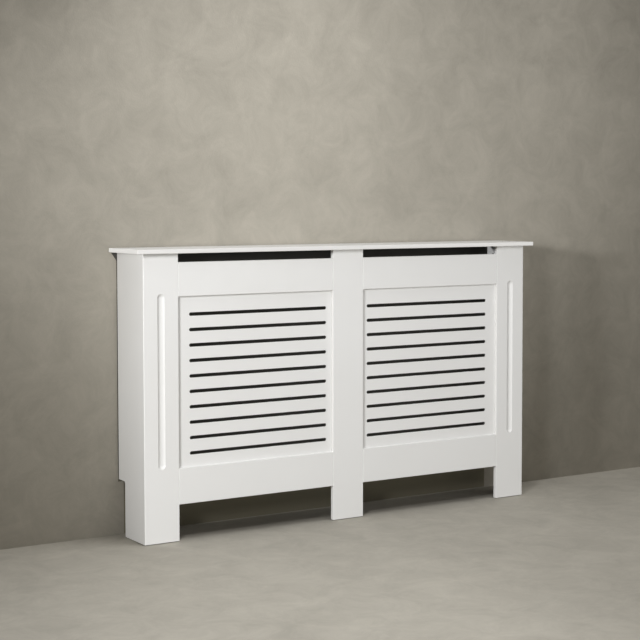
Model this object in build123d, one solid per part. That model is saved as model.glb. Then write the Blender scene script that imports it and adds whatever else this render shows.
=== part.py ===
from build123d import *
import math
import os

# Radiator cover cabinet: an open-backed white case that stands against a wall over a
# radiator. Two bays of slotted panel sit between three stiles that run to the floor as
# legs, two mitred side panels close the ends and a thin shelf covers the top.
#
# Frame: X across the front, Y from the room to the wall, Z up. The origin is on the
# floor, in the middle of the shelf's width and depth. Sizes are in millimetres.

# ---------------------------------------------------------------- the case
overall_width = 1380.0          # shelf, end to end
overall_depth = 190.0           # shelf's front edge to the wall
overall_height = 815.0          # floor to the shelf's top
shelf_thickness = 12.0
shelf_end_overhang = 25.0       # past each side panel
shelf_front_overhang = 20.0     # past the face of the front frame
shelf_edge_radius = 1.5

board = 12.0                    # thickness of stiles, rails and side panels
stile_width = 106.0
foot_height = 102.0             # open space below the bottom rails
bottom_rail_height = 102.0
top_rail_height = 95.0
vent_gap = 25.0                 # open slit between the top rails and the shelf
front_ease = 1.0                # small flat along the front edges
corner_radius = 1.5             # eased outer corner where stile and side are mitred

# ---------------------------------------------------------------- the slotted panels
panel_thickness = 4.0
rebate_width = 10.0             # rebate in the frame that the panel's edge lies in
panel_clearance = 0.3           # free space round the panel in its rebate
slot_count = 10
slot_height = 10.0
slot_top_margin = 46.0          # top rail to the highest slot
slot_bottom_margin = 33.0       # bottom rail to the lowest slot
slot_outer_margin = 37.0        # outer stile to the slots' ends
slot_inner_margin = 18.0        # centre stile to the slots' ends

# ---------------------------------------------------------------- flutes and notches
flute_width = 22.0
flute_depth = 5.0
flute_head = 111.0              # flute's upper end to the shelf
flute_foot = 205.0              # floor to the flute's lower end

notch_depth = 42.0              # clears the skirting board
notch_height = 158.0
notch_radius = 8.0

# ---------------------------------------------------------------- corner battens
batten_width = 20.0
batten_foot = 30.0              # floor to the batten's lower end
batten_head_room = 15.0         # batten's upper end to the shelf

# ---------------------------------------------------------------- dowels
dowel_radius = 3.0
dowel_length = 30.0
dowel_clearance = 0.05          # radial, for glue
dowel_end_room = 0.5            # past each end, for glue
dowel_chamfer = 0.6
shelf_skin = 3.0                # wood left above the blind holes in the shelf
rail_dowel_inset = 15.0         # from a rail's plain edge, and from its rebate
stile_dowel_offset = 32.0       # from the middle of a stile's width

# ---------------------------------------------------------------- cam fittings
cam_radius = 5.9
cam_clearance = 0.1             # radial, in its bore
cam_floor = 2.3                 # wood left below the cam's bore
cam_sink = 0.2                  # cam's face below the wood's, and its end above the floor
cam_set_back = 34.0             # joint to the cam's centre
cam_rim = 1.5                   # wall round the cam's hollow
cam_bolt_room = 0.35            # round the bolt's head and neck where the cam turns past
cam_slit_lead = 24.0            # degrees of slit beyond the locked bolt
cam_slit_sweep = 120.0          # degrees that the whole slit runs round the rim
cam_cross_width = 1.3
cam_cross_length = 6.5
cam_cross_depth = 1.6
side_cam_front = 45.0           # front frame to the side panel's nearer cam
side_cam_rear = 30.0            # wall to the side panel's farther cam

bolt_thread_radius = 2.5
bolt_thread_in_stile = 11.0
bolt_collar_radius = 3.0
bolt_collar_length = 1.5
bolt_shank_radius = 2.4
bolt_neck_radius = 1.5
bolt_head_radius = 2.5
bolt_head_length = 3.0
bolt_seat_room = 0.2            # locked bolt's head to the inside of the cam's rim
bolt_bore_room = 0.25           # radial, round the bolt's collar

# ---------------------------------------------------------------- screws and brackets
screw_radius = 1.5              # panel and batten screws
screw_head_radius = 3.0
screw_head_height = 1.8
screw_hole_room = 0.2           # radial, in the piece that the screw passes through
panel_screw_length = 10.0
panel_screw_columns = 3         # along each rail
panel_screw_inset = 40.0        # from the bay's ends to the outer columns
batten_screw_length = 27.0
batten_screw_rows = 4
batten_screw_inset = 60.0       # from each end of the batten
batten_screw_step = 14.0        # lifts the screws to the side clear of those to the stile

bracket_leg = 40.0
bracket_width = 18.0
bracket_thickness = 2.0
bracket_bend_radius = 3.0       # outside of the bend
bracket_corner_radius = 4.0
bracket_hole_radius = 2.5
bracket_hole_inset = 10.0       # leg's free end to the nearer hole
bracket_hole_spacing = 16.0
bracket_drop = 103.0            # shelf to the bracket's middle
bracket_screw_radius = 2.0
bracket_screw_head_radius = 3.8
bracket_screw_length = 10.0

# ---------------------------------------------------------------- derived places
y_wall = overall_depth / 2
y_face = -overall_depth / 2 + shelf_front_overhang
y_back = y_face + board
y_middle = y_face + board / 2
body_half = overall_width / 2 - shelf_end_overhang
stile_inner = body_half - stile_width
stile_middle = body_half - stile_width / 2
centre_half = stile_width / 2
z_joint = overall_height - shelf_thickness
z_recess_low = foot_height + bottom_rail_height
z_rail_top = z_joint - vent_gap
z_recess_high = z_rail_top - top_rail_height
slot_pitch = (
    z_recess_high - slot_top_margin - z_recess_low - slot_bottom_margin - slot_height
) / (slot_count - 1)
x_inside = -body_half + board
z_batten_top = z_joint - batten_head_room
z_rebate = (z_recess_low - rebate_width, z_recess_high + rebate_width)
bolt_thread_in_shelf = shelf_thickness - shelf_skin
dowel_in_shelf = shelf_thickness - shelf_skin - dowel_end_room


def block(x_range, y_range, z_range):
    """Box between a low and a high limit on each axis."""
    spans = (x_range, y_range, z_range)
    size = [high - low for low, high in spans]
    return Pos(*[low for low, high in spans]) * Box(*size, align=Align.MIN)


def rod(radius, length):
    """Cylinder that stands on its frame's origin, along +Z."""
    return Cylinder(radius, length, align=(Align.CENTER, Align.CENTER, Align.MIN))


def spread(low, high, count):
    """Evenly spaced places from low to high, both included."""
    step = (high - low) / (count - 1)
    return [low + index * step for index in range(count)]


def frame(x, y, z, along, outward):
    """Frame of a fitting, with +Z along it and +X outward."""
    return Plane(origin=(x, y, z), x_dir=outward, z_dir=along).location


def placed(frames, shape):
    """One copy of the shape in each frame."""
    return [place * shape for place in frames]


def other_half(shapes):
    """The same pieces in the right half of the cabinet."""
    return [mirror(shape, about=Plane.YZ) for shape in shapes]


# ---------------------------------------------------------------- joints of the left half
# The origin of a joint's frame is where its dowel or bolt crosses from one board to the
# other, +Z runs into the board that holds the cam, and +X points out of that board's
# open face, from which the cam is turned.
def rail_ends(heights):
    """Frames at both ends of the left rails, at each height."""
    frames = []
    for z in heights:
        frames.append(frame(-stile_inner, y_middle, z, (1, 0, 0), (0, 1, 0)))
        frames.append(frame(-centre_half, y_middle, z, (-1, 0, 0), (0, 1, 0)))
    return frames


def side_top(y):
    """Frame on the left side panel's top edge."""
    return frame(-body_half + board / 2, y, z_joint, (0, 0, -1), (1, 0, 0))


def stile_top(x):
    """Frame on a stile's top edge."""
    return frame(x, y_middle, z_joint, (0, 0, -1), (0, 1, 0))


bottom_rail_solid = (foot_height, z_rebate[0])
top_rail_solid = (z_rebate[1], z_rail_top)
y_cam_front = y_back + side_cam_front
y_cam_rear = y_wall - side_cam_rear
rail_cams = rail_ends([sum(bottom_rail_solid) / 2, sum(top_rail_solid) / 2])
side_cams = [side_top(y_cam_front), side_top(y_cam_rear)]
outer_stile_cams = [stile_top(-stile_middle)]
centre_stile_cams = [stile_top(0)]
rail_dowels = rail_ends(
    [low + rail_dowel_inset for low, high in (bottom_rail_solid, top_rail_solid)]
    + [high - rail_dowel_inset for low, high in (bottom_rail_solid, top_rail_solid)]
)
side_dowels = [side_top((y_cam_front + y_cam_rear) / 2)]
outer_stile_dowels = [
    stile_top(-stile_middle - stile_dowel_offset),
    stile_top(-stile_middle + stile_dowel_offset),
]
centre_stile_dowels = [stile_top(-stile_dowel_offset), stile_top(stile_dowel_offset)]


# ---------------------------------------------------------------- screw places, left half
# The origin of a screw's frame is under its head, and +Z runs down its shank.
def panel_screw_frames():
    """Screws through the left panel's edge: rows along the rails, one in each stile."""
    into_frame = (0, -1, 0)
    half_rebate = rebate_width / 2
    columns = spread(
        -stile_inner + panel_screw_inset, -centre_half - panel_screw_inset, panel_screw_columns
    )
    rows = (z_recess_low - half_rebate, z_recess_high + half_rebate)
    places = [(x, z) for x in columns for z in rows]
    z_middle = (z_recess_low + z_recess_high) / 2
    places += [(-stile_inner - half_rebate, z_middle), (-centre_half + half_rebate, z_middle)]
    return [frame(x, y_back, z, into_frame, (1, 0, 0)) for x, z in places]


def batten_screw_frames(sideways):
    """Screws through the left batten, to the stile or sideways to the side panel."""
    heights = spread(
        batten_foot + batten_screw_inset, z_batten_top - batten_screw_inset, batten_screw_rows
    )
    half = batten_width / 2
    if sideways:
        x = x_inside + batten_width
        y = y_back + half
        step = batten_screw_step
        return [frame(x, y, z + step, (-1, 0, 0), (0, 0, 1)) for z in heights]
    x = x_inside + half
    y = y_back + batten_width
    return [frame(x, y, z, (0, -1, 0), (0, 0, 1)) for z in heights]


def bracket_frames(toward_wall):
    """Holes of the left bracket: through the leg on the wall, or through the side's leg."""
    far = bracket_leg - bracket_hole_inset
    steps = (far - bracket_hole_spacing, far)
    z = z_joint - bracket_drop
    if toward_wall:
        y = y_wall - bracket_thickness
        return [frame(x_inside + step, y, z, (0, 1, 0), (0, 0, 1)) for step in steps]
    x = x_inside + bracket_thickness
    return [frame(x, y_wall - step, z, (-1, 0, 0), (0, 0, 1)) for step in steps]


# ---------------------------------------------------------------- fittings
def cam_bolt(thread_length):
    """Steel bolt: thread below the joint, then collar, shank, neck and tapered head.

    The head sits inside the locked cam's rim, and the neck runs out through its slit.
    """
    rim_inside = math.sqrt((cam_radius - cam_rim) ** 2 - bolt_head_radius**2)
    neck_start = cam_set_back - cam_radius - bolt_seat_room
    neck_end = cam_set_back - rim_inside + bolt_seat_room
    tip = neck_end + bolt_head_length
    outline = Polyline(
        (0, -thread_length),
        (bolt_thread_radius, -thread_length),
        (bolt_thread_radius, 0),
        (bolt_collar_radius, 0),
        (bolt_collar_radius, bolt_collar_length),
        (bolt_shank_radius, bolt_collar_length),
        (bolt_shank_radius, neck_start),
        (bolt_neck_radius, neck_start),
        (bolt_neck_radius, neck_end),
        (bolt_head_radius, neck_end),
        (bolt_neck_radius, tip),
        (0, tip),
        close=True,
    )
    return revolve(Plane.XZ * make_face(outline), axis=Axis.Z)


def cam_lock():
    """Zinc cam in its locked place: drum, hollow, slit round the rim, mouth and cross."""
    face = board / 2 - cam_sink
    drum = Pos(face, 0, 0) * Rot(0, -90, 0) * rod(cam_radius, board - cam_floor - 2 * cam_sink)
    head_space = bolt_head_radius + cam_bolt_room
    neck_space = bolt_neck_radius + cam_bolt_room
    hollow = Rot(0, 90, 0) * Cylinder(cam_radius - cam_rim, 2 * head_space)
    slit_outline = Pos(0, -cam_radius) * Rectangle(2 * neck_space, 2 * cam_rim)
    slit = revolve(slit_outline, axis=Axis.X, revolution_arc=cam_slit_sweep)
    slit = Rot(90 - cam_slit_lead, 0, 0) * slit
    mouth_turn = 180 - cam_slit_lead + cam_slit_sweep
    mouth = Rot(mouth_turn, 0, 0) * rod(head_space, 2 * cam_radius)
    cross = Box(cam_cross_depth, cam_cross_width, cam_cross_length)
    cross += Box(cam_cross_depth, cam_cross_length, cam_cross_width)
    cross = Pos(face - cam_cross_depth / 2, 0, 0) * cross
    return Pos(0, 0, cam_set_back) * (drum - [hollow, slit, mouth, cross])


def cam_bore():
    """Room for the cam, from the open face, and for the bolt, from the joint."""
    drum = Rot(0, -90, 0) * rod(cam_radius + cam_clearance, board - cam_floor)
    bolt_bore = rod(bolt_collar_radius + bolt_bore_room, cam_set_back)
    return Pos(board / 2, 0, cam_set_back) * drum + bolt_bore


def bolt_pilot(thread_length):
    """Hole that the bolt's thread is driven into, below the joint."""
    return Rot(180, 0, 0) * rod(bolt_thread_radius, thread_length)


def dowel(depth):
    """Beech dowel with chamfered ends that stands depth below the joint."""
    blank = rod(dowel_radius, dowel_length)
    ends = blank.edges().filter_by(GeomType.CIRCLE)
    return Pos(0, 0, -depth) * chamfer(ends, dowel_chamfer)


def dowel_hole_above(depth):
    """Hole for the part of a dowel that stands above the joint."""
    return rod(dowel_radius + dowel_clearance, dowel_length - depth + dowel_end_room)


def dowel_hole_below(depth):
    """Hole for the part of a dowel that stands below the joint."""
    return Rot(180, 0, 0) * rod(dowel_radius + dowel_clearance, depth + dowel_end_room)


def screw(radius, head_radius, length):
    """Pan-head screw."""
    return rod(radius, length) + Rot(180, 0, 0) * rod(head_radius, screw_head_height)


# ---------------------------------------------------------------- boards
y_rebate = (y_back - panel_thickness, y_back)


def mitred_board(length):
    """Upright board with a mitred end at the frame's origin and its outer face along +X.

    The outer corner is eased: each of the two mitred boards has half of its round.
    """
    mitre_tip = corner_radius * (1 - math.sqrt(0.5))
    corner = CenterArc((corner_radius, corner_radius), corner_radius, 225, 45)
    sides = Polyline(
        (corner_radius, 0),
        (length, 0),
        (length, board),
        (board, board),
        (mitre_tip, mitre_tip),
    )
    return extrude(make_face(corner + sides), z_joint)


def flute():
    """Cutter for the round-bottomed groove with ball ends, up the middle of a stile."""
    radius = (flute_width**2 / 4 + flute_depth**2) / (2 * flute_depth)
    z_low = flute_foot + flute_width / 2
    z_high = z_joint - flute_head - flute_width / 2
    lower_end = Sphere(radius)
    upper_end = Pos(0, 0, z_high - z_low) * Sphere(radius)
    cutter = rod(radius, z_high - z_low) + lower_end + upper_end
    return Pos(-stile_middle, y_face + flute_depth - radius, z_low) * cutter


def outer_stile():
    """Left stile: mitred to the side panel, fluted, rebated for the slotted panel."""
    shape = Pos(-body_half, y_face, 0) * mitred_board(stile_width)
    front_edges = shape.edges().filter_by(Axis.Z).group_by(Axis.Y)[0]
    shape = chamfer(front_edges.sort_by(Axis.X)[-1], front_ease)
    rebate = block((-stile_inner - rebate_width, -stile_inner), y_rebate, z_rebate)
    return shape - [flute(), rebate]


def centre_stile():
    """Middle stile: plain in front, rebated on both edges."""
    shape = block((-centre_half, centre_half), (y_face, y_back), (0, z_joint))
    shape = chamfer(shape.edges().filter_by(Axis.Z).group_by(Axis.Y)[0], front_ease)
    rebate = block((-centre_half, -centre_half + rebate_width), y_rebate, z_rebate)
    return shape - [rebate, *other_half([rebate])]


def rail(z_range, z_rebated):
    """Left rail between two heights, with a rebate along one edge of its back."""
    x_range = (-stile_inner, -centre_half)
    shape = block(x_range, (y_face, y_back), z_range)
    shape = chamfer(shape.faces().sort_by(Axis.Y)[0].edges(), front_ease)
    return shape - block(x_range, y_rebate, z_rebated)


def side_panel():
    """Left side panel: mitred to the stile, notched at the back for the skirting."""
    swap_x_and_y = Plane(origin=(0, 0, 0), z_dir=(1, -1, 0))
    shape = mirror(mitred_board(y_wall - y_face), about=swap_x_and_y)
    notch = block(
        (-body_half, -body_half + board),
        (y_wall - notch_depth, y_wall + notch_radius),
        (-notch_radius, notch_height),
    )
    inner_corner = notch.edges().filter_by(Axis.X).group_by(Axis.Z)[-1].sort_by(Axis.Y)[0]
    return Pos(-body_half, y_face, 0) * shape - fillet(inner_corner, notch_radius)


def slotted_panel():
    """Left grille: one thin panel with a column of round-ended slots through it."""
    reach = rebate_width - panel_clearance
    shape = block(
        (-stile_inner - reach, -centre_half + reach),
        y_rebate,
        (z_recess_low - reach, z_recess_high + reach),
    )
    x_low = -stile_inner + slot_outer_margin
    x_high = -centre_half - slot_inner_margin
    outline = Plane.XZ * SlotOverall(x_high - x_low, slot_height)
    slot = extrude(outline, panel_thickness, both=True)
    z_first = z_recess_low + slot_bottom_margin + slot_height / 2
    heights = [z_first + row * slot_pitch for row in range(slot_count)]
    return shape - [Pos((x_low + x_high) / 2, y_back, z) * slot for z in heights]


def shelf():
    """Thin top, eased along its front and its ends, square along the wall."""
    half = overall_width / 2
    shape = block((-half, half), (-y_wall, y_wall), (z_joint, overall_height))
    off_the_wall = shape.edges().filter_by_position(Axis.Y, -y_wall, y_wall - shelf_edge_radius)
    return fillet(off_the_wall, shelf_edge_radius)


def batten():
    """Square batten, glued and screwed into the corner between stile and side."""
    return block(
        (x_inside, x_inside + batten_width),
        (y_back, y_back + batten_width),
        (batten_foot, z_batten_top),
    )


def wall_bracket():
    """Left steel angle: one leg on the side panel, one against the wall, two holes each."""
    heel = (x_inside + bracket_thickness, y_wall - bracket_thickness)
    outline = Polyline(
        (x_inside, y_wall),
        (x_inside, y_wall - bracket_leg),
        (heel[0], y_wall - bracket_leg),
        heel,
        (x_inside + bracket_leg, heel[1]),
        (x_inside + bracket_leg, y_wall),
        close=True,
    )
    profile = make_face(outline)
    outside = profile.vertices().sort_by_distance((x_inside, y_wall, 0))[0]
    profile = fillet(outside, bracket_bend_radius)
    inside = profile.vertices().sort_by_distance((*heel, 0))[0]
    profile = fillet(inside, bracket_bend_radius - bracket_thickness)
    shape = extrude(profile, bracket_width / 2, both=True)
    corners = shape.edges().filter_by(Axis.X).group_by(Axis.Y)[0]
    corners += shape.edges().filter_by(Axis.Y).group_by(Axis.X)[-1]
    shape = Pos(0, 0, z_joint - bracket_drop) * fillet(corners, bracket_corner_radius)
    hole = rod(bracket_hole_radius, bracket_thickness)
    return shape - placed(bracket_frames(True) + bracket_frames(False), hole)


# ---------------------------------------------------------------- drilling
def pilots(frames, radius, length):
    """Tight holes that screws or bolts are driven into."""
    return placed(frames, rod(radius, length))


half_dowel = dowel_length / 2
panel_screws = panel_screw_frames()
batten_screws_to_stile = batten_screw_frames(False)
batten_screws_to_side = batten_screw_frames(True)
bracket_screws = bracket_frames(False)

rail_bores = placed(rail_cams, cam_bore())
rail_bores += placed(rail_dowels, dowel_hole_above(half_dowel))
stile_pilots = placed(rail_cams, bolt_pilot(bolt_thread_in_stile))
stile_pilots += placed(rail_dowels, dowel_hole_below(half_dowel))
panel_pilots = pilots(panel_screws, screw_radius, panel_screw_length)


def top_bores(cams, dowels):
    """Bores in the top end of an upright board."""
    return placed(cams, cam_bore()) + placed(dowels, dowel_hole_above(dowel_in_shelf))


def shelf_bores(cams, dowels):
    """Blind holes in the underside of the shelf."""
    below = placed(cams, bolt_pilot(bolt_thread_in_shelf))
    return below + placed(dowels, dowel_hole_below(dowel_in_shelf))


left_side_panel = side_panel() - (
    top_bores(side_cams, side_dowels)
    + pilots(batten_screws_to_side, screw_radius, batten_screw_length)
    + pilots(bracket_screws, bracket_screw_radius, bracket_screw_length)
)
left_stile = outer_stile() - (
    top_bores(outer_stile_cams, outer_stile_dowels)
    + stile_pilots
    + panel_pilots
    + pilots(batten_screws_to_stile, screw_radius, batten_screw_length)
)
middle_stile = centre_stile() - (
    top_bores(centre_stile_cams, centre_stile_dowels)
    + stile_pilots
    + other_half(stile_pilots)
    + panel_pilots
    + other_half(panel_pilots)
)
top_rail = rail((z_recess_high, z_rail_top), (z_recess_high, z_rebate[1]))
bottom_rail = rail((foot_height, z_recess_low), (z_rebate[0], z_recess_low))
left_top_rail = top_rail - (rail_bores + panel_pilots)
left_bottom_rail = bottom_rail - (rail_bores + panel_pilots)
left_panel = slotted_panel() - pilots(
    panel_screws, screw_radius + screw_hole_room, panel_thickness
)
left_batten = batten() - pilots(
    batten_screws_to_stile + batten_screws_to_side, screw_radius + screw_hole_room, batten_width
)
left_shelf_cams = side_cams + outer_stile_cams
left_shelf_dowels = side_dowels + outer_stile_dowels
left_shelf_bores = shelf_bores(left_shelf_cams, left_shelf_dowels)
top_shelf = shelf() - (
    left_shelf_bores
    + other_half(left_shelf_bores)
    + shelf_bores(centre_stile_cams, centre_stile_dowels)
)


# ---------------------------------------------------------------- groups of fasteners
def both_halves(shapes):
    """Left pieces and their mirror images."""
    return shapes + other_half(shapes)


frame_screw = screw(screw_radius, screw_head_radius, panel_screw_length)
batten_screw = screw(screw_radius, screw_head_radius, batten_screw_length)
bracket_screw = screw(bracket_screw_radius, bracket_screw_head_radius, bracket_screw_length)
shelf_bolt = cam_bolt(bolt_thread_in_shelf)

groups = {
    "rail_dowels": both_halves(placed(rail_dowels, dowel(half_dowel))),
    "shelf_dowels": both_halves(placed(left_shelf_dowels, dowel(dowel_in_shelf)))
    + placed(centre_stile_dowels, dowel(dowel_in_shelf)),
    "rail_cam_bolts": both_halves(placed(rail_cams, cam_bolt(bolt_thread_in_stile))),
    "rail_cam_locks": both_halves(placed(rail_cams, cam_lock())),
    "shelf_cam_bolts": both_halves(placed(left_shelf_cams, shelf_bolt))
    + placed(centre_stile_cams, shelf_bolt),
    "shelf_cam_locks": both_halves(placed(left_shelf_cams, cam_lock()))
    + placed(centre_stile_cams, cam_lock()),
    "panel_screws": both_halves(placed(panel_screws, frame_screw)),
    "batten_screws": both_halves(
        placed(batten_screws_to_stile + batten_screws_to_side, batten_screw)
    ),
    "bracket_screws": both_halves(placed(bracket_screws, bracket_screw)),
}

pairs = {
    "side_panel": left_side_panel,
    "stile": left_stile,
    "top_rail": left_top_rail,
    "bottom_rail": left_bottom_rail,
    "slotted_panel": left_panel,
    "corner_batten": left_batten,
    "wall_bracket": wall_bracket(),
}

# ---------------------------------------------------------------- one file for each node
nodes = {"top_shelf": top_shelf, "centre_stile": middle_stile}
for name, shape in pairs.items():
    nodes["left_" + name] = shape
    nodes["right_" + name] = mirror(shape, about=Plane.YZ)
for name, solids in groups.items():
    nodes[name] = Compound(solids)

os.makedirs("parts", exist_ok=True)
for name, shape in nodes.items():
    export_step(shape, os.path.join("parts", name + ".step"))
print(len(nodes), "nodes, slot pitch", round(slot_pitch, 2), "mm")
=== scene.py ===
# %% [markdown]
# # A white radiator cover
#
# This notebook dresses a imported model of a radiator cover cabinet. The boards, panels,
# dowels and fittings arrive as finished solids, so most of the work here is finish: a satin
# paint rolled on fibreboard, bare wood, and zinc fittings. Every length is in metres. X runs
# along the front, Y from the room to the wall, Z up, and the origin is on the floor below
# the middle of the shelf.

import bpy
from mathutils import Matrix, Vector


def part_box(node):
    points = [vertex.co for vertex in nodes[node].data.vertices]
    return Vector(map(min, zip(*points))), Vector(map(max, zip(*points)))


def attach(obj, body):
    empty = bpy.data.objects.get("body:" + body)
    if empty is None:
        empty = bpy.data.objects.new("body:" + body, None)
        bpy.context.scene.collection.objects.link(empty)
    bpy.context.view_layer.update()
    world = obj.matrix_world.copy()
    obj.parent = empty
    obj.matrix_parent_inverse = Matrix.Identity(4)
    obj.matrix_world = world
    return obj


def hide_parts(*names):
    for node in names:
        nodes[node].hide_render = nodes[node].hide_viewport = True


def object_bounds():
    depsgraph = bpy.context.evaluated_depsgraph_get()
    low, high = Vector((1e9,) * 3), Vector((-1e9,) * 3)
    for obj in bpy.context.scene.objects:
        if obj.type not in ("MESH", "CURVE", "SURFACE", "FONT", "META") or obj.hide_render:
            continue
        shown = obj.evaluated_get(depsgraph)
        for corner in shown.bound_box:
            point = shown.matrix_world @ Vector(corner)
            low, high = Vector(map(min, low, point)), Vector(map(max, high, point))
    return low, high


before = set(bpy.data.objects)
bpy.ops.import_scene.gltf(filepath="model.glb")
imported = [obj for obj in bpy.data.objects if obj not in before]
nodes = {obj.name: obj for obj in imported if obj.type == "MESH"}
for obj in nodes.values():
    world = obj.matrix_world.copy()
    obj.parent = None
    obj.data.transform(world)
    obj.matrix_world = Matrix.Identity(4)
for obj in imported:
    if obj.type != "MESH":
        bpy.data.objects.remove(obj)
cad_low, cad_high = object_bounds()
print("nodes:", len(nodes))
print("size in millimetres:", [round(1000 * side) for side in cad_high - cad_low])

# %% [markdown]
# The libraries come next, with one more measure. The shelf overhangs, so the model's full
# width isn't the width of the case, and the shade behind the open back needs the latter.

# %% Libraries and shared values
import math

import bmesh
import bpy
from mathutils import Matrix, Vector

MM = 0.001
scene = bpy.context.scene
case_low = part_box("left_side_panel")[0]
case_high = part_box("right_side_panel")[1]
print("case without its shelf:", [round(side / MM) for side in case_high - case_low])

# %% [markdown]
# ## The camera
#
# The photograph was taken from the front left, a little above the cabinet, with a long
# lens. Its place could be tried by eye. Here it comes from fitting a pinhole camera to the
# cabinet's edges, so the distances are true. The axis of the lens passes above and to the
# right of the middle of the picture, as it does in a photograph that was cropped, and a
# small shift of the lens stands for that.

# %% Place the camera
CAMERA_PLACE = (-2.456, -3.894, 0.960)
CAMERA_YAW = math.radians(32.98)  # from straight ahead, towards the right
CAMERA_PITCH = math.radians(-3.09)
LENS = 86.31  # millimetres, as the sensor's width
SENSOR = 36.0
AXIS_RIGHT_OF_MIDDLE = 0.0539  # shares of the picture's width
AXIS_ABOVE_MIDDLE = 0.0638


def place_camera():
    """A long lens at about the height of the shelf, turned to the right."""
    camera = bpy.data.cameras.new("long_lens")
    camera.lens = LENS
    camera.sensor_width = SENSOR
    camera.shift_x = -AXIS_RIGHT_OF_MIDDLE
    camera.shift_y = -AXIS_ABOVE_MIDDLE
    obj = bpy.data.objects.new("long_lens", camera)
    turn = Matrix.Rotation(-CAMERA_YAW, 4, "Z")
    tilt = Matrix.Rotation(math.pi / 2 + CAMERA_PITCH, 4, "X")
    obj.matrix_world = Matrix.Translation(CAMERA_PLACE) @ turn @ tilt
    scene.collection.objects.link(obj)
    return obj


scene.camera = place_camera()
print("camera to cabinet:", round(Vector(CAMERA_PLACE).length, 2), "m")

# %% [markdown]
# ## The studio
#
# The cabinet has no back: it stands against a wall, and the wall closes it. So the studio
# needs a wall as well as a floor, or the slots would show daylight. A solid wall would hide
# the open back from a camera that walks round behind the cabinet. A one-sided sheet serves
# both: its material, further down, lets the view through from behind.
#
# The wall stands a few millimetres behind the case and the floor a little below the feet.
# The thin dark lines that real furniture shows where it meets them come from these gaps. Along
# the wall, the dark in the gap is painted shade: the dark sheet further down shows through.

# %% Build the floor and the wall
STAGE_HALF = 9.0
WALL_TOP = 5.0
WALL_GAP = 6 * MM
FLOOR_GAP = 2 * MM


def new_object(name, build):
    """An object in the scene from a bmesh, which is used up."""
    mesh = bpy.data.meshes.new(name)
    build.to_mesh(mesh)
    build.free()
    obj = bpy.data.objects.new(name, mesh)
    scene.collection.objects.link(obj)
    return obj


def sheet(name, corners):
    """A single flat face, with its corners anticlockwise as seen from its front."""
    build = bmesh.new()
    build.faces.new([build.verts.new(corner) for corner in corners])
    obj = new_object(name, build)
    return obj


def rectangle(half, low, high):
    """Corners (x, other) that run anticlockwise round a strip about x = 0."""
    return [(-half, low), (half, low), (half, high), (-half, high)]


floor_outline = rectangle(STAGE_HALF, -STAGE_HALF, STAGE_HALF)
floor = sheet("floor", [(x, y, -FLOOR_GAP) for x, y in floor_outline])
wall_outline = rectangle(STAGE_HALF, -FLOOR_GAP, WALL_TOP)
wall = sheet("wall", [(x, cad_high.y + WALL_GAP, z) for x, z in wall_outline])
print("wall behind the case:", round(WALL_GAP / MM), "mm away")

# %% [markdown]
# ## The dark inside
#
# Inside such a case it is dark, because little of the room's light gets in through the
# slots. A second, dark sheet just in front of the wall is painted shade: its nearly black
# colour stands for the shade inside the case.
#
# The sheet's outline follows what the photograph shows at the left end of the cabinet. It is
# as wide as the case, so that a dark line of painted shade parts the side panel from the
# wall. Near the floor it is narrower, because the room's light reaches the wall through the
# skirting notch, and only a thin painted dark strip shows there, beside the leg and under the
# top of the notch. Under each end of the shelf it has a small wedge of painted shadow, for the
# shadow that sits in that corner.

# %% Build the shade
SHADE_GAP = 5.5 * MM  # just in front of the wall
SHADE_SETBACK = 17 * MM
SHADE_STEP = 150 * MM  # a little lower than the top of the notch
WEDGE_HEIGHT = 24 * MM
WEDGE_WIDTH = 0.7 * WEDGE_HEIGHT


def shade_corners(half, y, top):
    """Corners of the shade, anticlockwise as seen from the room."""
    foot = half - SHADE_SETBACK
    right = [
        (foot, y, 0),
        (foot, y, SHADE_STEP),
        (half, y, SHADE_STEP),
        (half, y, top - WEDGE_HEIGHT),
        (half + WEDGE_WIDTH, y, top),
    ]
    return right + [(-x, y, z) for x, y, z in reversed(right)]


shade_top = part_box("top_shelf")[0].z
# The shade sheet is painted shade: a nearly black sheet where the case only lies in shadow.
shade = sheet("shade_behind_case", shade_corners(case_high.x, cad_high.y + SHADE_GAP, shade_top))
shade_size = (2 * case_high.x, shade_top)
print("shade behind the open back:", [round(side / MM) for side in shade_size])

# %% [markdown]
# ## Helpers for materials
#
# A material is a small web of nodes. When each link is written by hand, the idea gets lost
# among them. So one helper feeds a node with values or links, and another adds a node
# together with its settings and what it is fed with.

# %% Start a material and add nodes to it
def feed(tree, node, inputs):
    """Sets a node's inputs: each gets a plain value, or a link from a socket."""
    for name, value in inputs.items():
        if isinstance(value, bpy.types.NodeSocket):
            tree.links.new(value, node.inputs[name])
        else:
            node.inputs[name].default_value = value
    return node


def add_node(tree, kind, inputs=None, **settings):
    """Adds a node, with its settings made before its inputs."""
    node = tree.nodes.new("ShaderNode" + kind)
    for name, value in settings.items():
        setattr(node, name, value)
    return feed(tree, node, inputs or {})


def start_material(name):
    """Starts a material; gives it with its tree and its Principled shader."""
    material = bpy.data.materials.new(name)
    material.use_nodes = True
    return material, material.node_tree, material.node_tree.nodes["Principled BSDF"]


def object_place(tree):
    """Object coordinates of the shaded point, in metres from the cabinet's origin."""
    return add_node(tree, "TexCoord").outputs["Object"]


print("materials before the first finish:", len(bpy.data.materials))

# %% [markdown]
# A few more helpers stand for the nodes that come up again and again: sums, ranges, noise
# and blends of two colours. The Mix node has sockets for every kind of value, all with the
# same names, so those for colours are picked by their number.

# %% Sums, ranges, noise and blends
COLOUR_A, COLOUR_B, MIXED_COLOUR = 6, 7, 2


def calculate(tree, operation, *values):
    """The result of a Math node for these values or sockets."""
    return add_node(tree, "Math", dict(enumerate(values)), operation=operation).outputs[0]


def rescale(tree, value, old, new):
    """The value, moved from one range to another and held inside it."""
    inputs = {
        "Value": value,
        "From Min": old[0],
        "From Max": old[1],
        "To Min": new[0],
        "To Max": new[1],
    }
    return add_node(tree, "MapRange", inputs).outputs["Result"]


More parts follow.
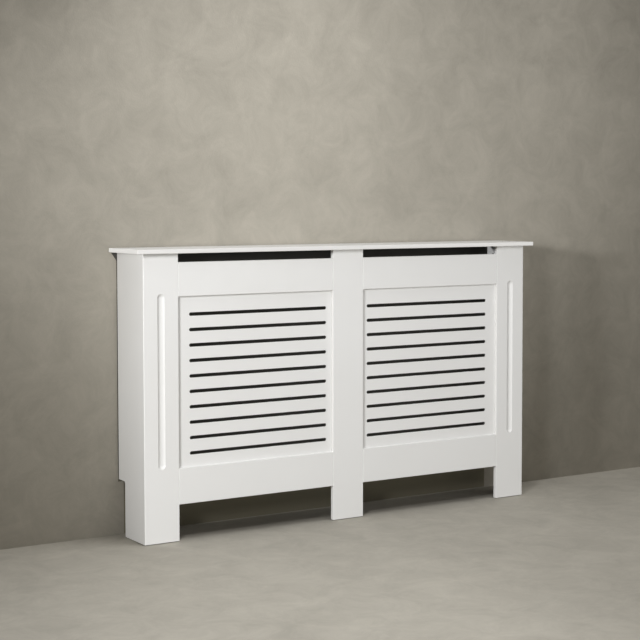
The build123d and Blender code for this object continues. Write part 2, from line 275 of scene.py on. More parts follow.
def noise(tree, place, scale, detail, roughness=0.5, distortion=0.0):
    """Outputs of a noise whose features are about 1 / scale across."""
    inputs = {
        "Vector": place,
        "Scale": scale,
        "Detail": detail,
        "Roughness": roughness,
        "Distortion": distortion,
    }
    return add_node(tree, "TexNoise", inputs).outputs


def blend_colours(tree, factor, first, second):
    """A colour that goes from the first to the second with the factor."""
    first, second = [
        colour if isinstance(colour, bpy.types.NodeSocket) else (*colour, 1)
        for colour in (first, second)
    ]
    inputs = {"Factor": factor, COLOUR_A: first, COLOUR_B: second}
    return add_node(tree, "Mix", inputs, data_type="RGBA").outputs[MIXED_COLOUR]


single_nodes = (calculate, rescale, noise, blend_colours)
print("helpers for single nodes:", [maker.__name__ for maker in single_nodes])

# %% [markdown]
# ## A slow drift that every finish shares
#
# No finish is quite even. Paint, wood and zinc all drift slowly in tone from one part of a
# board to the next. The drift could be copied into every material. A node group, which is a
# web with named inputs and outputs, is made once, and each material places it with its own
# scale.

# %% Group for the drift
WHOLE = (0, 1)
MOST_NOISE = (0.3, 0.7)  # the range that holds nearly all of a noise's values


def start_group(name, inputs, outputs):
    """Starts a node group; gives it with its input and its output sockets."""
    group = bpy.data.node_groups.new(name, "ShaderNodeTree")
    for socket_name, kind in inputs.items():
        group.interface.new_socket(socket_name, in_out="INPUT", socket_type="NodeSocket" + kind)
    for socket_name, kind in outputs.items():
        group.interface.new_socket(socket_name, in_out="OUTPUT", socket_type="NodeSocket" + kind)
    source = group.nodes.new("NodeGroupInput")
    result = group.nodes.new("NodeGroupOutput")
    return group, source.outputs, result


def place_group(tree, group, inputs):
    """Places a group in a tree; gives its outputs."""
    return add_node(tree, "Group", inputs, node_tree=group).outputs


def make_slow_drift():
    """Value from 0 to 1 that wanders slowly over the object."""
    inputs = {"Place": "Vector", "Scale": "Float"}
    group, given, result = start_group("slow_drift", inputs, {"Value": "Float"})
    wander = noise(group, given["Place"], given["Scale"], detail=3.0, roughness=0.55)
    feed(group, result, {"Value": rescale(group, wander["Fac"], MOST_NOISE, WHOLE)})
    return group


slow_drift = make_slow_drift()


def drift(tree, place, scale):
    """The slow drift in a material, from 0 to 1."""
    return place_group(tree, slow_drift, {"Place": place, "Scale": scale})["Value"]


print("sockets of the drift:", [socket.name for socket in slow_drift.interface.items_tree])

# %% [markdown]
# ## How rolled paint and cut edges look
#
# The paint on the boards is rolled on. Under a low light the film shows the soft dimples of
# the roller, a few millimetres apart, with a much finer stipple on them. The group gives
# that as a height, for a Bump node, because real displacement would need millions of faces
# for a relief of a hundredth of a millimetre.
#
# A fibreboard's cut edge drinks more paint than its face, so it dries duller and slightly
# fuzzy. The edges could be picked by hand, face by face. A second group finds them from the
# surface's own direction: on a board that lies flat along one axis, every face that turns
# away from that axis is a cut edge.

# %% Groups for rolled paint and cut edges
STIPPLE_FINENESS = 4.5  # times as fine as the dimples
STIPPLE_SHARE = 0.25  # of the dimples' height
FACE_OR_EDGE = (0.35, 0.75)  # how squarely an edge and a face look along the flat axis
EDGE_FIBRES = 1900.0  # per metre


def make_rolled_film():
    """Height of the roller's dimples, with a fine stipple on them."""
    inputs = {"Place": "Vector", "Dimples per metre": "Float"}
    group, given, result = start_group("rolled_film", inputs, {"Height": "Float"})
    place, per_metre = given["Place"], given["Dimples per metre"]
    dimples = noise(group, place, per_metre, detail=1.0, roughness=0.4)["Fac"]
    finer = calculate(group, "MULTIPLY", per_metre, STIPPLE_FINENESS)
    stipple = noise(group, place, finer, detail=2.0, roughness=0.6)["Fac"]
    both = calculate(group, "MULTIPLY_ADD", stipple, STIPPLE_SHARE, dimples)
    feed(group, result, {"Height": both})
    return group


def make_cut_edge():
    """Mask of a board's cut edges, and the fuzz of fibres along them."""
    inputs = {"Place": "Vector", "Flat axis": "Vector"}
    outputs = {"Mask": "Float", "Fuzz": "Float"}
    group, given, result = start_group("cut_edge", inputs, outputs)
    look = {0: add_node(group, "TexCoord").outputs["Normal"], 1: given["Flat axis"]}
    along = add_node(group, "VectorMath", look, operation="DOT_PRODUCT").outputs["Value"]
    squareness = calculate(group, "ABSOLUTE", along)
    mask = rescale(group, squareness, FACE_OR_EDGE, (1, 0))
    fibres = noise(group, given["Place"], EDGE_FIBRES, detail=3.0, roughness=0.7)["Fac"]
    feed(group, result, {"Mask": mask, "Fuzz": calculate(group, "MULTIPLY", fibres, mask)})
    return group


rolled_film = make_rolled_film()
cut_edge = make_cut_edge()
print("groups:", [group.name for group in bpy.data.node_groups])

# %% [markdown]
# ## The white paint
#
# The paint is a warm white with a satin sheen. One flat white would look like plastic, so
# two near whites blend with the slow drift, the cut edges get a third that is a little
# darker, and the roughness moves with another drift at a smaller scale. The film's height
# and the fuzz of the cut edges feed one Bump node.

# %% Recipe for the paint
PAINT_LIGHT = (0.835, 0.836, 0.832)
PAINT_DEEP = (0.812, 0.811, 0.802)
PAINT_ON_EDGES = (0.790, 0.787, 0.774)
PAINT_ROUGHNESS = (0.36, 0.46)
EDGE_ROUGHER = 0.14
PAINT_IOR = 1.5
TONE_SCALE = 2.6
SHEEN_SCALE = 31.0
FILM_RELIEF = 0.012 * MM


def white_paint(name, flat_axis, dimples):
    """Satin white on fibreboard whose faces look along the flat axis."""
    material, tree, shader = start_material(name)
    place = object_place(tree)
    edge = place_group(tree, cut_edge, {"Place": place, "Flat axis": flat_axis})
    film = place_group(tree, rolled_film, {"Place": place, "Dimples per metre": dimples})

    face_colour = blend_colours(tree, drift(tree, place, TONE_SCALE), PAINT_LIGHT, PAINT_DEEP)
    face_roughness = rescale(tree, drift(tree, place, SHEEN_SCALE), WHOLE, PAINT_ROUGHNESS)
    relief = calculate(tree, "ADD", film["Height"], edge["Fuzz"])
    bump = add_node(tree, "Bump", {"Height": relief, "Distance": FILM_RELIEF})
    feed(tree, shader, {
        "Base Color": blend_colours(tree, edge["Mask"], face_colour, PAINT_ON_EDGES),
        "Roughness": calculate(tree, "MULTIPLY_ADD", edge["Mask"], EDGE_ROUGHER, face_roughness),
        "Normal": bump.outputs["Normal"],
        "IOR": PAINT_IOR,
    })
    return material


print("roughness of the cut edges:", [round(rough + EDGE_ROUGHER, 2) for rough in PAINT_ROUGHNESS])

# %% [markdown]
# Rails, stiles and slotted panels lie flat along Y, the side panels along X and the shelf
# along Z, so the recipe is made once for each. The thin slotted panels are sprayed at the
# mill and not rolled, so their film is finer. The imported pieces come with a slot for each
# material, and a finish goes into these slots, so that their meshes stay untouched.

# %% Paint the boards
ROLLED = 240  # dimples per metre
SPRAYED = 420


def finish(material, names):
    """Gives the material to CAD nodes, in the slots that they came with."""
    for name in names:
        for material_slot in nodes[name].material_slots:
            material_slot.material = material
    print(material.name, "on", ", ".join(names))


def both_sides(*names):
    """Names of the left and the right node of each pair."""
    return [side + name for name in names for side in ("left_", "right_")]


finish(
    white_paint("white_paint_front", (0, 1, 0), ROLLED),
    ["centre_stile", *both_sides("stile", "top_rail", "bottom_rail")],
)
finish(white_paint("white_paint_sides", (1, 0, 0), ROLLED), both_sides("side_panel"))
finish(white_paint("white_paint_shelf", (0, 0, 1), ROLLED), ["top_shelf"])
finish(white_paint("white_paint_panels", (0, 1, 0), SPRAYED), both_sides("slotted_panel"))

# %% [markdown]
# ## Bare wood
#
# Two pine battens stand in the corners, and beech dowels fill the joints. Pine shows wide
# growth lines along its length, beech short dark flecks. A picture of wood could be laid on
# them, but it would be cut off at each face, while lines that fill space run on from the
# side of a batten to its end. Both woods come from one group: noise that is stretched along
# the grain gives the fibres, and the same noise bends a set of rings whose centre lies
# outside the piece, so that the lines run nearly straight.

# %% Group for wood
GRAIN_STRETCH = (1, 1, 0.06)
WANDER_SCALE = 28.0
WANDER_WIDTH = 0.006
HEART_PLACE = (0.03, 0.05, 0)  # how far the rings' centre lies from the origin


def make_straight_grain():
    """Grain that runs along Z: growth lines from 0 to 1, and a height for the fibres."""
    inputs = {"Place": "Vector", "Lines per metre": "Float", "Fibres per metre": "Float"}
    outputs = {"Lines": "Float", "Height": "Float"}
    group, given, result = start_group("straight_grain", inputs, outputs)
    stretch = {"Vector": given["Place"], "Scale": GRAIN_STRETCH}
    drawn_out = add_node(group, "Mapping", stretch).outputs[0]
    wander = noise(group, drawn_out, WANDER_SCALE, detail=2.0)["Color"]
    narrowed = {0: wander, "Scale": WANDER_WIDTH}
    bend = add_node(group, "VectorMath", narrowed, operation="SCALE").outputs[0]
    bent = add_node(group, "VectorMath", {0: drawn_out, 1: bend}, operation="ADD").outputs[0]
    off_heart = add_node(group, "Mapping", {"Vector": bent, "Location": HEART_PLACE}).outputs[0]
    rings = add_node(group, "TexWave", wave_type="RINGS", rings_direction="Z", wave_profile="SAW")
    feed(group, rings, {"Vector": off_heart, "Scale": given["Lines per metre"]})
    fibres = noise(group, drawn_out, given["Fibres per metre"], detail=4.0)["Fac"]
    feed(group, result, {"Lines": rings.outputs["Fac"], "Height": fibres})
    return group


straight_grain = make_straight_grain()
print("sockets of the grain:", [socket.name for socket in straight_grain.interface.items_tree])

# %% [markdown]
# Pine is pale with wide lines, beech is browner with narrow ones. The rail dowels lie along
# X and all other wood stands upright, so the place is turned before the grain is drawn in
# it. The dark late wood of each year is denser than the early wood, and so it is smoother.

# %% Pine and beech
WOOD_FIBRES = 900.0  # per metre
WOOD_RELIEF = 0.05 * MM
WOOD_ROUGHNESS = (0.62, 0.50)  # of early and of late wood
FIBRE_SHARE = 0.35
PALE_SCALE = 9.0
PALE_SHARE = 0.3
PALER = 1.12  # times as bright as the early wood
ALONG_Z = (0, 0, 0)
ALONG_X = (0, math.pi / 2, 0)
PINE_COLOURS = ((0.74, 0.58, 0.38), (0.58, 0.39, 0.21))
PINE_LINES = 38.0  # per metre
BEECH_COLOURS = ((0.58, 0.38, 0.22), (0.42, 0.24, 0.12))
BEECH_LINES = 90.0


def bare_wood(name, colours, lines_per_metre, turn):
    """Planed wood, with its grain turned from Z to the piece's own length."""
    material, tree, shader = start_material(name)
    early, late = colours
    place = object_place(tree)
    grain = place_group(tree, straight_grain, {
        "Place": add_node(tree, "Mapping", {"Vector": place, "Rotation": turn}).outputs[0],
        "Lines per metre": lines_per_metre,
        "Fibres per metre": WOOD_FIBRES,
    })
    lines = blend_colours(tree, grain["Lines"], early, late)
    fibre_tone = rescale(tree, grain["Height"], MOST_NOISE, (0, FIBRE_SHARE))
    fibres = blend_colours(tree, fibre_tone, lines, late)
    paler = [PALER * channel for channel in early]
    pale_parts = rescale(tree, drift(tree, place, PALE_SCALE), WHOLE, (0, PALE_SHARE))
    bump = add_node(tree, "Bump", {"Height": grain["Height"], "Distance": WOOD_RELIEF})
    feed(tree, shader, {
        "Base Color": blend_colours(tree, pale_parts, fibres, paler),
        "Roughness": rescale(tree, grain["Lines"], WHOLE, WOOD_ROUGHNESS),
        "Normal": bump.outputs["Normal"],
    })
    return material


finish(bare_wood("pine", PINE_COLOURS, PINE_LINES, ALONG_Z), both_sides("corner_batten"))
finish(bare_wood("beech", BEECH_COLOURS, BEECH_LINES, ALONG_X), ["rail_dowels"])
finish(bare_wood("beech_upright", BEECH_COLOURS, BEECH_LINES, ALONG_Z), ["shelf_dowels"])

# %% [markdown]
# ## Zinc and steel
#
# The cams are cast in zinc: grey, slightly rough and cloudy. The bolts, screws and brackets
# are steel with a bright zinc plating, which keeps fine drawing lines and a few duller
# patches. A plain metallic shader would turn them into mirrors, and on such small pieces a
# mirror shows only the dark round it. So a grey film of oxide takes half of the surface, and
# one group gives both metals their cloudy patches and their fine lines.

# %% Group and materials for the metals
METAL_SHARE = 0.5  # the rest is the film of oxide
CLOUD_SCALE = 190.0
DULL_SCALE = 60.0
DULL_SHARE = 0.4
DRAWN_LINES = 2600.0  # per metre
DRAWN_ALONG_Y = (1, 0.02, 1)
ZINC_COLOURS = ((0.62, 0.63, 0.64), (0.46, 0.47, 0.48))
PLATE_COLOURS = ((0.80, 0.81, 0.82), (0.62, 0.64, 0.66))


def make_metal_skin():
    """Cloudy patches, and fine lines along Y."""
    outputs = {"Clouds": "Float", "Lines": "Float"}
    group, given, result = start_group("metal_skin", {"Place": "Vector"}, outputs)
    clouds = noise(group, given["Place"], CLOUD_SCALE, detail=4.0, roughness=0.6)["Fac"]
    drawn = add_node(group, "Mapping", {"Vector": given["Place"], "Scale": DRAWN_ALONG_Y})
    feed(group, result, {
        "Clouds": rescale(group, clouds, MOST_NOISE, WHOLE),
        "Lines": noise(group, drawn.outputs[0], DRAWN_LINES, detail=2.0)["Fac"],
    })
    return group


metal_skin = make_metal_skin()


def metal(name, colours, roughness, relief):
    """A dulled metal, whose clouds are darker and rougher than the rest."""
    material, tree, shader = start_material(name)
    bright, dull = colours
    place = object_place(tree)
    skin = place_group(tree, metal_skin, {"Place": place})
    clouded = blend_colours(tree, skin["Clouds"], bright, dull)
    duller = rescale(tree, drift(tree, place, DULL_SCALE), WHOLE, (0, DULL_SHARE))
    bump = add_node(tree, "Bump", {"Height": skin["Lines"], "Distance": relief})
    feed(tree, shader, {
        "Base Color": blend_colours(tree, duller, clouded, dull),
        "Metallic": METAL_SHARE,
        "Roughness": rescale(tree, skin["Clouds"], WHOLE, roughness),
        "Normal": bump.outputs["Normal"],
    })
    return material


cast_zinc = metal("cast_zinc", ZINC_COLOURS, roughness=(0.38, 0.55), relief=0.02 * MM)
zinc_plate = metal("zinc_plate", PLATE_COLOURS, roughness=(0.28, 0.44), relief=0.008 * MM)
finish(cast_zinc, ["rail_cam_locks", "shelf_cam_locks"])
finish(zinc_plate, ["rail_cam_bolts", "shelf_cam_bolts", *both_sides("wall_bracket")])

# %% [markdown]
# ## Screws with a drive and a thread
#
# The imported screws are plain: a shank and a flat round head. A real one has a domed head
# with a cross cut into it, and a thread. On a real cabinet the heads show on the back of the
# slotted panels and on the battens. A screw is a turned part, so its body is made by spinning
# an outline about its axis. The thread could be a texture, but then the screw would stay
# smooth from the side. So it is a spin as well, of a small triangle that climbs as it turns.
#
# These cells have a fault that isn't mended: only the thread is left in the finished screws.
# The cell on the cross says why.

# %% Tools for a turned and threaded body
ROUND = 2 * math.pi
WELD = 0.001 * MM
RIDGE_SINK = 0.9  # the ridge starts inside the core, so that no gap shows
RIDGE_WIDTH = 0.7  # share of the pitch
ON_Z = {"cent": (0, 0, 0), "axis": (0, 0, 1)}


def turned_solid(outline, steps):
    """A solid turned about Z, from (radius, height) points that start and end on the axis."""
    build = bmesh.new()
    points = [build.verts.new((radius, 0, height)) for radius, height in outline]
    edges = [build.edges.new(pair) for pair in zip(points, points[1:])]
    bmesh.ops.spin(build, geom=points + edges, **ON_Z, angle=ROUND, steps=steps, use_merge=True)
    bmesh.ops.remove_doubles(build, verts=build.verts, dist=WELD)
    bmesh.ops.recalc_face_normals(build, faces=build.faces)
    return build


def add_thread(build, core, crest, start, end, pitch, steps_per_turn):
    """Winds a three-sided ridge round the core, from start to end along Z."""
    foot = RIDGE_SINK * core
    half = RIDGE_WIDTH * pitch / 2
    outline = [(foot, start), (crest, start + half), (foot, start + 2 * half)]
    ridge = build.faces.new([build.verts.new((radius, 0, z)) for radius, z in outline])
    turns = (end - start - 2 * half) / pitch
    bmesh.ops.spin(
        build, geom=[ridge, *ridge.edges, *ridge.verts], **ON_Z, angle=ROUND * turns,
        dvec=(0, 0, pitch / steps_per_turn), steps=round(turns * steps_per_turn),
    )
    bmesh.ops.recalc_face_normals(build, faces=build.faces)


print("ridge of a 1.6 mm pitch:", round(1.6 * RIDGE_WIDTH, 2), "mm wide")

# %% [markdown]
# The cross is meant as a real recess, because a camera that comes close sees into it. It
# could be drawn on the head, but a Boolean modifier can cut it with two tapered bars. That is
# done once, on the one screw that all the others are copied from.
#
# Known fault: the cut loses the head and the core. The two bars run through each other, and
# the modifier isn't told to allow for that, so the thread alone comes out. Its faces point
# inwards in some runs. With the modifier's use_self turned on, the whole screw comes out.

# %% Tools for the cross in the head
CROSS_TAPER = (0.4, 0.75, 1)  # of each bar's bottom, along and across the bar and along Z


def cross_cutter(reach, width, depth, top):
    """Two tapered bars that cross, standing from the top into the head along Z."""
    build = bmesh.new()
    for angle in (0, ROUND / 4):
        made = bmesh.ops.create_cube(build, size=1)["verts"]
        bmesh.ops.scale(build, verts=made, vec=(2 * reach, width, 2 * depth))
        bmesh.ops.scale(build, verts=[vert for vert in made if vert.co.z > 0], vec=CROSS_TAPER)
        turn = Matrix.Rotation(angle, 3, "Z")
        bmesh.ops.rotate(build, verts=made, cent=(0, 0, 0), matrix=turn)
        bmesh.ops.translate(build, verts=made, vec=(0, 0, top))
    return build


def cut_away(blank, cutter):
    """Mesh of the blank less the cutter, which mustn't run through itself; uses up both."""
    cut = blank.modifiers.new("cut", "BOOLEAN")
    cut.operation = "DIFFERENCE"
    cut.solver = "EXACT"
    cut.object = cutter
    depsgraph = bpy.context.evaluated_depsgraph_get()
    mesh = bpy.data.meshes.new_from_object(blank.evaluated_get(depsgraph))
    bpy.data.objects.remove(blank)
    bpy.data.objects.remove(cutter)
    return mesh


print("length of a bar's bottom:", CROSS_TAPER[0], "times that of its top")

# %% [markdown]
# The outline of a screw runs from the top of its dome, over the rim and under the head, down
# the core and to the point. Its points are shares of the head's size and of the core's
# radius, so that one outline fits the thin panel screws as well as the thick bracket screws.

# %% One screw
DOME = ((0, 1), (0.45, 0.97), (0.76, 0.82), (0.94, 0.55), (1, 0.25), (1, 0))
POINT = ((1, 2.5), (0.15, 0.1), (0, 0))  # radius and distance from the tip, in core radii
CORE_SHARE = 0.72  # of the thread's radius
THREAD_START = 1.2  # below the head, in thread radii
THREAD_END = 2.0  # before the tip, in core radii
CROSS_REACH, CROSS_WIDTH = 0.62, 0.22  # shares of the head's radius
CROSS_DEPTH = 0.6  # share of the head's height
BODY_STEPS = 24
THREAD_STEPS = 12


def screw_mesh(head_radius, head_height, thread_radius, length, pitch):
    """A pan-head screw with its shank up along Z, of which the cut leaves only the thread."""
    core = CORE_SHARE * thread_radius
    dome = [(across * head_radius, -up * head_height) for across, up in DOME]
    neck = [(thread_radius, 0), (core, thread_radius - core)]
    point = [(across * core, length - away * core) for across, away in POINT]
    body = turned_solid(dome + neck + point, BODY_STEPS)

    start, end = THREAD_START * thread_radius, length - THREAD_END * core
    add_thread(body, core, thread_radius, start, end, pitch, THREAD_STEPS)

    reach, width = CROSS_REACH * head_radius, CROSS_WIDTH * head_radius
    bars = cross_cutter(reach, width, CROSS_DEPTH * head_height, -head_height)
    return cut_away(new_object("screw_blank", body), new_object("screw_cutter", bars))


print("core of a 3 mm thread:", round(3 * CORE_SHARE, 2), "mm")

# %% [markdown]
# The screws' places don't need to be typed again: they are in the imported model. Each group
# of screws is one mesh, which falls apart into separate islands once its doubled points are
# merged. An island's longest side is the screw's direction, and its widest end is the head.

# %% Find each screw in a packed group
SAME_POINT = 0.01 * MM
NEAR_RIM = 0.95  # share of the head's radius


def islands(name):
    """Corner points of each separate solid of a CAD node."""
    build = bmesh.new()
    build.from_mesh(nodes[name].data)
    bmesh.ops.remove_doubles(build, verts=build.verts, dist=SAME_POINT)
    found = []
    seen = set()
    for first in build.verts:
        if first in seen:
            continue
        seen.add(first)
        todo = [first]
        island = []
        while todo:
            vert = todo.pop()
            island.append(vert.co.copy())
            linked = {edge.other_vert(vert) for edge in vert.link_edges} - seen
            seen |= linked
            todo += linked
        found.append(island)
    build.free()
    return found


def stand_in_island(points, head_height):
    """Matrix that stands a screw in an island, with the screw's head radius and length."""
    low = Vector([min(point[axis] for point in points) for axis in range(3)])
    high = Vector([max(point[axis] for point in points) for axis in range(3)])
    size = high - low
    middle = (low + high) / 2
    along = max(range(3), key=lambda axis: size[axis])
    across = [axis for axis in range(3) if axis != along]
    head_radius = max(size[axis] for axis in across) / 2
    on_head = [
        point[along]
        for point in points
        if math.hypot(*[point[axis] - middle[axis] for axis in across]) > NEAR_RIM * head_radius
    ]
    sign = 1 if sum(on_head) / len(on_head) < middle[along] else -1
    direction = Vector([sign if axis == along else 0 for axis in range(3)])
    under_head = middle - direction * (size[along] / 2 - head_height)
    turn = direction.to_track_quat("Z", "Y").to_matrix().to_4x4()
    return Matrix.Translation(under_head) @ turn, head_radius, size[along] - head_height


print("panel screws found:", len(islands("panel_screws")))

# %% [markdown]
# Each packed group is replaced as a whole. The screws in it are alike, so one is made and
# copied to every place. Nobody drives screws home with their crosses in line, so each copy
# is turned a little further than the last.

# %% Replace the plain screws
SCREW_HEAD_HEIGHT = 1.8 * MM
DRIVE_TURN = 2.4  # radians from one screw's cross to the next
SHARP_ANGLE = math.radians(35)


def replace_screws(group, thread_radius, pitch):
    """One mesh of the made screws, which stands for a packed group of plain ones."""
    build = bmesh.new()
    screw = None
    for count, points in enumerate(islands(group)):
        place, head_radius, length = stand_in_island(points, SCREW_HEAD_HEIGHT)
        if screw is None:
            screw = screw_mesh(head_radius, SCREW_HEAD_HEIGHT, thread_radius, length, pitch)
        known = set(build.verts)
        build.from_mesh(screw)
        added = [vert for vert in build.verts if vert not in known]
        drive_turn = Matrix.Rotation(DRIVE_TURN * count, 4, "Z")
        bmesh.ops.transform(build, matrix=place @ drive_turn, verts=added)
    obj = new_object(group + "_threaded", build)
    obj.data.shade_smooth()
    obj.data.set_sharp_from_angle(angle=SHARP_ANGLE)
    obj.data.materials.append(zinc_plate)
    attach(obj, "root")
    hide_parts(group)
    return obj


threaded = [
    replace_screws("panel_screws", 1.5 * MM, 1.2 * MM),
    replace_screws("batten_screws", 1.5 * MM, 1.6 * MM),
    replace_screws("bracket_screws", 2.0 * MM, 1.6 * MM),
]
for obj in threaded:
    print(obj.name, len(obj.data.polygons), "faces")

# %% [markdown]
# ## Finishes of the studio
#
# Floor and wall are a plain pale mineral grey, so that the white cabinet stands out as it
# does in the photograph. They are matt, with a slow cloudiness, trowelled patches and a fine
# grain. The shade is painted shade, almost black, and only near the floor, where some light
# gets in under the rails, is it painted paler.

# %% Materials for floor, wall and shade
WALL_LIGHT = (0.50, 0.468, 0.402)
WALL_DEEP = (0.36, 0.336, 0.286)
FLOOR_LIGHT = (0.55, 0.520, 0.454)
FLOOR_DEEP = (0.40, 0.378, 0.328)
PLASTER_RELIEF = 0.4 * MM
PLASTER_ROUGHNESS = 0.85
PATCH_SCALE = 9.0
PATCH_SHARE = 0.6  # the rest of the tone comes from the slow clouds
MOST_PATCHES = (0.35, 0.65)
SLOW_CLOUDS = 1.7
SAND_SCALE = 220.0
SHADE_HIGH = (0.070, 0.067, 0.060)
SHADE_LOW = (0.25, 0.228, 0.165)
SHADE_RISE = (0.08, 0.20)  # heights between which the shade goes from pale to dark
SHADE_ROUGHNESS = 0.9


def plaster(name, light, deep):
    """Matt mineral surface with slow clouds, trowelled patches and a fine grain."""
    material, tree, shader = start_material(name)
    place = object_place(tree)
    patches = noise(tree, place, PATCH_SCALE, detail=9.0, roughness=0.76, distortion=0.6)["Fac"]
    mottle = rescale(tree, patches, MOST_PATCHES, WHOLE)
    inputs = {"Factor": PATCH_SHARE, "A": drift(tree, place, SLOW_CLOUDS), "B": mottle}
    both = add_node(tree, "Mix", inputs).outputs["Result"]
    sand = noise(tree, place, SAND_SCALE, detail=4.0)["Fac"]
    bump = add_node(tree, "Bump", {"Height": sand, "Distance": PLASTER_RELIEF})
    feed(tree, shader, {
        "Base Color": blend_colours(tree, both, light, deep),
        "Roughness": PLASTER_ROUGHNESS,
        "Normal": bump.outputs["Normal"],
    })
    return material


def deep_shade():
    """Painted shade for the dark inside of the case, painted a little paler where the floor is
    near.
    """
    material, tree, shader = start_material("deep_shade")
    height = add_node(tree, "SeparateXYZ", {"Vector": object_place(tree)}).outputs["Z"]
    rise = rescale(tree, height, SHADE_RISE, WHOLE)
    feed(tree, shader, {
        "Base Color": blend_colours(tree, rise, SHADE_LOW, SHADE_HIGH),
        "Roughness": SHADE_ROUGHNESS,
    })
    return material


floor_finish = plaster("pale_floor", FLOOR_LIGHT, FLOOR_DEEP)
wall_finish = plaster("pale_wall", WALL_LIGHT, WALL_DEEP)
shade_finish = deep_shade()
print("studio finishes:", [made.name for made in (floor_finish, wall_finish, shade_finish)])

# %% [markdown]
# The wall's material also decides what passes through it. A camera ray that meets the rear
# side goes on as if nothing were there, so the open back can be looked at from behind. All
# other light stops at the wall, which keeps the inside dark when the cabinet is seen from
# the room.
#
# The lamps reach only a part of this large floor, and its far end would be a dark band on
# the horizon. More lamps could light it, but a bright floor would light the cabinet from
# below. So floor and wall fade into the colour of the surround a few metres away. Both
# effects are a second shader laid over the first, where a mask says so.

# %% One-sided wall and fading floor
SURROUND = (0.50, 0.48, 0.44)
FADE = 1.2
FLOOR_FADE_START = 1.8  # both starts lie outside the photograph's view
WALL_FADE_START = 2.6


def overlay(material, mask, shader):
    """Shows the other shader where the mask is 1, to the camera and to nothing else."""
    tree = material.node_tree
    surface = tree.nodes["Material Output"].inputs["Surface"]
    to_camera = add_node(tree, "LightPath").outputs["Is Camera Ray"]
    seen = calculate(tree, "MULTIPLY", to_camera, mask)
    inputs = {"Fac": seen, 1: surface.links[0].from_socket, 2: shader.outputs[0]}
    mix = add_node(tree, "MixShader", inputs)
    tree.links.new(mix.outputs[0], surface)
    return material


def one_sided(material):
    """Lets the view through from the rear."""
    tree = material.node_tree
    rear = add_node(tree, "NewGeometry").outputs["Backfacing"]
    return overlay(material, rear, add_node(tree, "BsdfTransparent"))


def faded(material, start):
    """Goes over into the surround from this far away from the cabinet."""
    tree = material.node_tree
    away = add_node(tree, "VectorMath", {0: object_place(tree)}, operation="LENGTH")
    far = rescale(tree, away.outputs["Value"], (start, start + FADE), WHOLE)
    return overlay(material, far, add_node(tree, "Emission", {"Color": (*SURROUND, 1)}))


floor.data.materials.append(faded(floor_finish, FLOOR_FADE_START))
wall.data.materials.append(one_sided(faded(wall_finish, WALL_FADE_START)))
shade.data.materials.append(one_sided(shade_finish))
print("the floor has faded out", FLOOR_FADE_START + FADE, "m from the origin")

# %% [markdown]
# ## The light
#
# The photograph's light is soft, and it doesn't fall on everything alike. The front of the
# cabinet is brightest at its upper left, the side panel is a step darker, and the shelf's
# shadow on the front is short. On the wall there is a pool of light above the shelf, and the
# cabinet throws an upright shadow to its right. The floor below the rails lies in deep
# shade. One lamp can't do all this. A studio would use flags to keep each lamp's light where
# it is wanted, and light linking does the same here: each lamp names what it lights.

# %% Tools for lamps
def group_of(name, objects):
    """A collection that isn't part of the scene and only lists objects."""
    collection = bpy.data.collections.new(name)
    for obj in objects:
        collection.objects.link(obj)
    return collection


def lamp(name, kind, place, aim, watts, on):
    """A lamp that looks at the aim, with its light kept on these objects."""
    light = bpy.data.lights.new(name, kind)
    light.energy = watts
    obj = bpy.data.objects.new(name, light)
    turn = (Vector(aim) - Vector(place)).to_track_quat("-Z", "Y").to_matrix().to_4x4()
    obj.matrix_world = Matrix.Translation(place) @ turn
    scene.collection.objects.link(obj)
    obj.light_linking.receiver_collection = group_of(name + "_receivers", on)
    return obj


def soft_box(name, place, aim, size, watts, on):
    """A square lamp with a wide face."""
    obj = lamp(name, "AREA", place, aim, watts, on)
    obj.data.shape = "SQUARE"
    obj.data.size = size
    return obj


def spot(name, place, aim, degrees, radius, watts, on):
    """A round lamp whose cone fades out all the way from its middle."""
    obj = lamp(name, "SPOT", place, aim, watts, on)
    obj.data.shadow_soft_size = radius
    obj.data.spot_size = math.radians(degrees)
    obj.data.spot_blend = 1.0
    return obj


case = [*nodes.values(), *threaded]
shelf = nodes["top_shelf"]
left_side, right_side = [nodes[name] for name in both_sides("side_panel")]
front = [obj for obj in case if obj not in (left_side, right_side)]
below_shelf = [obj for obj in case if obj is not shelf]
print("cabinet pieces to light:", len(case))

# %% [markdown]
# A key light stands far to the left, so that every edge of the front throws a short shadow
# to its right, and the flutes get a dark and a bright side. A weak fill opens the right
# bay. Both leave the side panels out. A top light gives the shelf its brightness. The left
# side panel has its own lamp, which stands close to the front corner and grazes the panel,
# so that it gets darker towards the wall. The right end has a lamp for a camera that goes
# there.

# %% Lamps for the front, the shelf and the ends
soft_box("key", (-3.2, -2.0, 1.7), aim=(0, 0, 0.5), size=0.8, watts=112, on=front)
soft_box("top", (-0.4, -0.5, 2.6), aim=(0, 0, 0.8), size=1.4, watts=12, on=case)
soft_box("fill", (1.0, -2.4, 0.9), aim=(0.1, 0, 0.4), size=1.2, watts=18, on=front)
grazing = soft_box(
    "left_side", (-0.98, -0.95, 0.75), aim=(-0.665, -0.05, 0.42),
    size=0.4, watts=19, on=[left_side],
)
grazing.visible_glossy = False  # so near a lamp would glare in the satin, seen from behind
soft_box(
    "right_side", (3.0, -0.8, 1.3), aim=(0.665, 0, 0.4),
    size=1.2, watts=24, on=[right_side, shelf],
)
print("pieces lit by the key:", len(front))

# %% [markdown]
# Four more lamps shine on the open back, through the wall. They would light the dark inside
# as well, which shows through the slots, so their light counts for one bounce at most. Three
# of them leave the shelf alone, because its underside shows through the vent gap from the
# front. Of these, the one on the left lights only the right side panel, from so high that the
# shelf shades the strip which the vent gap shows. The fourth stands just above the level of
# the shelf and lights its back edge.

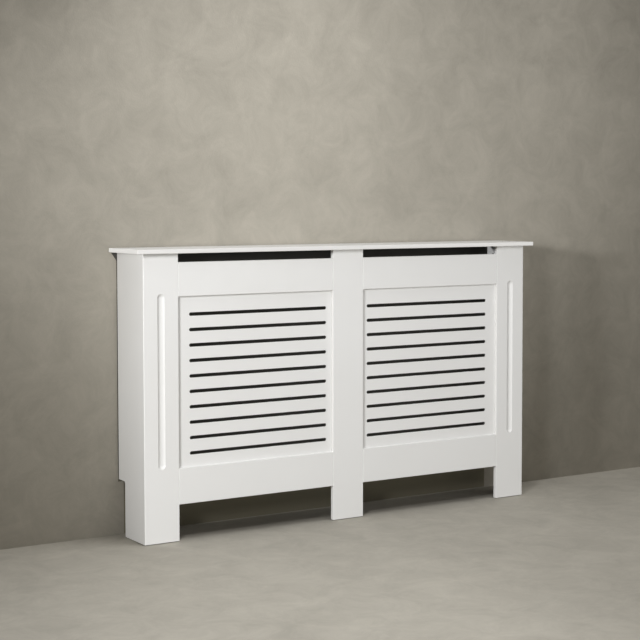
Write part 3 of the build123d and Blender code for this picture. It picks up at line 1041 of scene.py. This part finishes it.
# %% Lamps for the back
back = soft_box("back", (1.7, 2.2, 0.45), aim=(0, 0, 0.4), size=0.7, watts=22, on=below_shelf)
back_lamps = [
    back,
    soft_box("back_fill", (1.0, 2.6, 0.45), aim=(0, 0, 0.4), size=0.6, watts=20, on=below_shelf),
    soft_box(
        "back_left", (-1.4, 2.4, 2.2), aim=(0.66, 0, 0.4),
        size=0.7, watts=60, on=[right_side],
    ),
    soft_box("shelf_back", (0.0, 2.6, 1.0), aim=(0, 0.1, 0.8), size=0.3, watts=18, on=[shelf]),
]
back_blockers = group_of("back_blockers", case)
for obj in back_lamps:
    obj.data.cycles.max_bounces = 1 if obj is back else 0
    obj.light_linking.blocker_collection = back_blockers
print("lamps that the wall doesn't stop:", len(back_lamps))

# %% [markdown]
# On the wall, a spot from the far left skims past the cabinet and makes the upright shadow.
# The others build the pool of light above the shelf. The floor has a high soft light, whose
# shadow lies just behind the front of the cabinet, and two spots that fade out before they
# reach the foot of the wall. The last lamp lights the floor behind the wall, for a camera
# that goes there.

# %% Lamps for the wall and the floor
backing = [wall, shade]
spot("wall_skim", (-3.4, -1.4, 1.3), (0.4, 0.1, 1.0), 30, radius=0.2, watts=320, on=backing)
spot("wall_high", (0.0, -3.0, 2.2), (0.4, 0.1, 1.6), 50, radius=0.3, watts=144, on=backing)
spot("wall_low", (-2.6, -2.2, 1.2), (0.0, 0.1, 0.9), 60, radius=0.3, watts=120, on=backing)
spot("wall_pool", (-1.0, -2.4, 1.2), (-0.2, 0.1, 1.35), 30, radius=0.3, watts=52, on=backing)
spot("floor_left", (-1.4, -2.0, 3.2), (-1.0, -1.2, 0), 40, radius=0.3, watts=160, on=[floor])
spot("floor_right", (-2.0, -2.0, 3.2), (0.45, -0.65, 0), 60, radius=0.2, watts=112, on=[floor])
soft_box("floor_high", (0.0, -0.8, 3.0), (0, -0.8, 0), size=1.0, watts=30, on=[floor])
soft_box("floor_behind", (0.0, 1.8, 2.6), (0, 1.4, 0), size=1.4, watts=45, on=[floor])

# %% [markdown]
# The surround is an even pale grey. Its light is weak, or the deep shade under the rails
# would fill up, but a camera that looks past the wall sees it at its full strength.

# %% Surround
SURROUND_LIGHT = 0.30

surround = bpy.data.worlds.new("surround")
surround.use_nodes = True
tree = surround.node_tree
to_camera = add_node(tree, "LightPath").outputs["Is Camera Ray"]
feed(tree, tree.nodes["Background"], {
    "Color": (*SURROUND, 1),
    "Strength": rescale(tree, to_camera, WHOLE, (SURROUND_LIGHT, 1)),
})
scene.world = surround
scene.view_settings.view_transform = "Standard"
print("light of the surround:", SURROUND_LIGHT)
